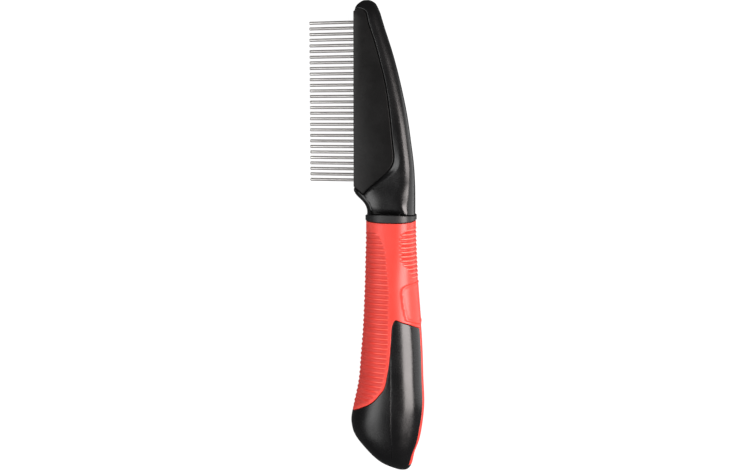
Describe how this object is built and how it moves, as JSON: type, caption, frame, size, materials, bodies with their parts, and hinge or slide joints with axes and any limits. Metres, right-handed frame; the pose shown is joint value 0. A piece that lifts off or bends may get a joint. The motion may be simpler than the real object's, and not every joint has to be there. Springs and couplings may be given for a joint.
{
  "type": "undercoat rake",
  "caption": "Long-pin undercoat comb with freely turning steel pins in a split pin block, curved plastic spine and ribbed two-tone handle.",
  "frame": {"origin": "middle of the underside of the bounding box, with the comb lying on its side", "axes": "+Y runs along the comb from the butt of the handle to the tip of the head, the pins point along -X, the spine and palm side face +X, and +Z stands out of the upper face"},
  "size_m": [0.0514, 0.205, 0.0201],
  "materials": {
    "black_plastic": "fine satin moulded black",
    "satin_plastic": "fine textured black",
    "gloss_plastic": "smooth semi-gloss black",
    "soft_grip": "soft-touch red overmould",
    "pin_steel": "polished wire"
  },
  "bodies": {
    "comb": {"head_frame": "black_plastic", "pin_plate_front": "satin_plastic", "pin_plate_rear": "satin_plastic", "collar_ring": "black_plastic", "handle_core_finger_side": "gloss_plastic", "handle_core_palm_side": "gloss_plastic", "grip_sleeve": "soft_grip"},
    "pin_01": {"pin_01": "pin_steel"},
    "pin_02": {"pin_02": "pin_steel"},
    "pin_03": {"pin_03": "pin_steel"},
    "pin_04": {"pin_04": "pin_steel"},
    "pin_05": {"pin_05": "pin_steel"},
    "pin_06": {"pin_06": "pin_steel"},
    "pin_07": {"pin_07": "pin_steel"},
    "pin_08": {"pin_08": "pin_steel"},
    "pin_09": {"pin_09": "pin_steel"},
    "pin_10": {"pin_10": "pin_steel"},
    "pin_11": {"pin_11": "pin_steel"},
    "pin_12": {"pin_12": "pin_steel"},
    "pin_13": {"pin_13": "pin_steel"},
    "pin_14": {"pin_14": "pin_steel"},
    "pin_15": {"pin_15": "pin_steel"},
    "pin_16": {"pin_16": "pin_steel"},
    "pin_17": {"pin_17": "pin_steel"},
    "pin_18": {"pin_18": "pin_steel"},
    "pin_19": {"pin_19": "pin_steel"},
    "pin_20": {"pin_20": "pin_steel"},
    "pin_21": {"pin_21": "pin_steel"},
    "pin_22": {"pin_22": "pin_steel"},
    "pin_23": {"pin_23": "pin_steel"},
    "pin_24": {"pin_24": "pin_steel"},
    "pin_25": {"pin_25": "pin_steel"},
    "pin_26": {"pin_26": "pin_steel"},
    "pin_27": {"pin_27": "pin_steel"},
    "pin_28": {"pin_28": "pin_steel"},
    "pin_29": {"pin_29": "pin_steel"}
  },
  "joints": [
    {"name": "pin_01_spin", "type": "hinge", "parent": "comb", "child": "pin_01", "pos_m": [-0.02571, 0.02614, 0.01005], "axis": [1, 0, 0], "continuous": true},
    {"name": "pin_02_spin", "type": "hinge", "parent": "comb", "child": "pin_02", "pos_m": [-0.02571, 0.02854, 0.01005], "axis": [1, 0, 0], "continuous": true},
    {"name": "pin_03_spin", "type": "hinge", "parent": "comb", "child": "pin_03", "pos_m": [-0.02571, 0.03095, 0.01005], "axis": [1, 0, 0], "continuous": true},
    {"name": "pin_04_spin", "type": "hinge", "parent": "comb", "child": "pin_04", "pos_m": [-0.02571, 0.03335, 0.01005], "axis": [1, 0, 0], "continuous": true},
    {"name": "pin_05_spin", "type": "hinge", "parent": "comb", "child": "pin_05", "pos_m": [-0.02571, 0.03576, 0.01005], "axis": [1, 0, 0], "continuous": true},
    {"name": "pin_06_spin", "type": "hinge", "parent": "comb", "child": "pin_06", "pos_m": [-0.02571, 0.03816, 0.01005], "axis": [1, 0, 0], "continuous": true},
    {"name": "pin_07_spin", "type": "hinge", "parent": "comb", "child": "pin_07", "pos_m": [-0.02571, 0.04056, 0.01005], "axis": [1, 0, 0], "continuous": true},
    {"name": "pin_08_spin", "type": "hinge", "parent": "comb", "child": "pin_08", "pos_m": [-0.02571, 0.04297, 0.01005], "axis": [1, 0, 0], "continuous": true},
    {"name": "pin_09_spin", "type": "hinge", "parent": "comb", "child": "pin_09", "pos_m": [-0.02571, 0.04537, 0.01005], "axis": [1, 0, 0], "continuous": true},
    {"name": "pin_10_spin", "type": "hinge", "parent": "comb", "child": "pin_10", "pos_m": [-0.02571, 0.04778, 0.01005], "axis": [1, 0, 0], "continuous": true},
    {"name": "pin_11_spin", "type": "hinge", "parent": "comb", "child": "pin_11", "pos_m": [-0.02571, 0.05018, 0.01005], "axis": [1, 0, 0], "continuous": true},
    {"name": "pin_12_spin", "type": "hinge", "parent": "comb", "child": "pin_12", "pos_m": [-0.02571, 0.05258, 0.01005], "axis": [1, 0, 0], "continuous": true},
    {"name": "pin_13_spin", "type": "hinge", "parent": "comb", "child": "pin_13", "pos_m": [-0.02571, 0.05499, 0.01005], "axis": [1, 0, 0], "continuous": true},
    {"name": "pin_14_spin", "type": "hinge", "parent": "comb", "child": "pin_14", "pos_m": [-0.02571, 0.05739, 0.01005], "axis": [1, 0, 0], "continuous": true},
    {"name": "pin_15_spin", "type": "hinge", "parent": "comb", "child": "pin_15", "pos_m": [-0.02571, 0.0598, 0.01005], "axis": [1, 0, 0], "continuous": true},
    {"name": "pin_16_spin", "type": "hinge", "parent": "comb", "child": "pin_16", "pos_m": [-0.02571, 0.0622, 0.01005], "axis": [1, 0, 0], "continuous": true},
    {"name": "pin_17_spin", "type": "hinge", "parent": "comb", "child": "pin_17", "pos_m": [-0.02571, 0.0646, 0.01005], "axis": [1, 0, 0], "continuous": true},
    {"name": "pin_18_spin", "type": "hinge", "parent": "comb", "child": "pin_18", "pos_m": [-0.02571, 0.06701, 0.01005], "axis": [1, 0, 0], "continuous": true},
    {"name": "pin_19_spin", "type": "hinge", "parent": "comb", "child": "pin_19", "pos_m": [-0.02571, 0.06941, 0.01005], "axis": [1, 0, 0], "continuous": true},
    {"name": "pin_20_spin", "type": "hinge", "parent": "comb", "child": "pin_20", "pos_m": [-0.02571, 0.07182, 0.01005], "axis": [1, 0, 0], "continuous": true},
    {"name": "pin_21_spin", "type": "hinge", "parent": "comb", "child": "pin_21", "pos_m": [-0.02571, 0.07422, 0.01005], "axis": [1, 0, 0], "continuous": true},
    {"name": "pin_22_spin", "type": "hinge", "parent": "comb", "child": "pin_22", "pos_m": [-0.02571, 0.07662, 0.01005], "axis": [1, 0, 0], "continuous": true},
    {"name": "pin_23_spin", "type": "hinge", "parent": "comb", "child": "pin_23", "pos_m": [-0.02571, 0.07903, 0.01005], "axis": [1, 0, 0], "continuous": true},
    {"name": "pin_24_spin", "type": "hinge", "parent": "comb", "child": "pin_24", "pos_m": [-0.02571, 0.08143, 0.01005], "axis": [1, 0, 0], "continuous": true},
    {"name": "pin_25_spin", "type": "hinge", "parent": "comb", "child": "pin_25", "pos_m": [-0.02571, 0.08384, 0.01005], "axis": [1, 0, 0], "continuous": true},
    {"name": "pin_26_spin", "type": "hinge", "parent": "comb", "child": "pin_26", "pos_m": [-0.02571, 0.08624, 0.01005], "axis": [1, 0, 0], "continuous": true},
    {"name": "pin_27_spin", "type": "hinge", "parent": "comb", "child": "pin_27", "pos_m": [-0.02571, 0.08864, 0.01005], "axis": [1, 0, 0], "continuous": true},
    {"name": "pin_28_spin", "type": "hinge", "parent": "comb", "child": "pin_28", "pos_m": [-0.02571, 0.09105, 0.01005], "axis": [1, 0, 0], "continuous": true},
    {"name": "pin_29_spin", "type": "hinge", "parent": "comb", "child": "pin_29", "pos_m": [-0.02571, 0.09345, 0.01005], "axis": [1, 0, 0], "continuous": true}
  ]
}
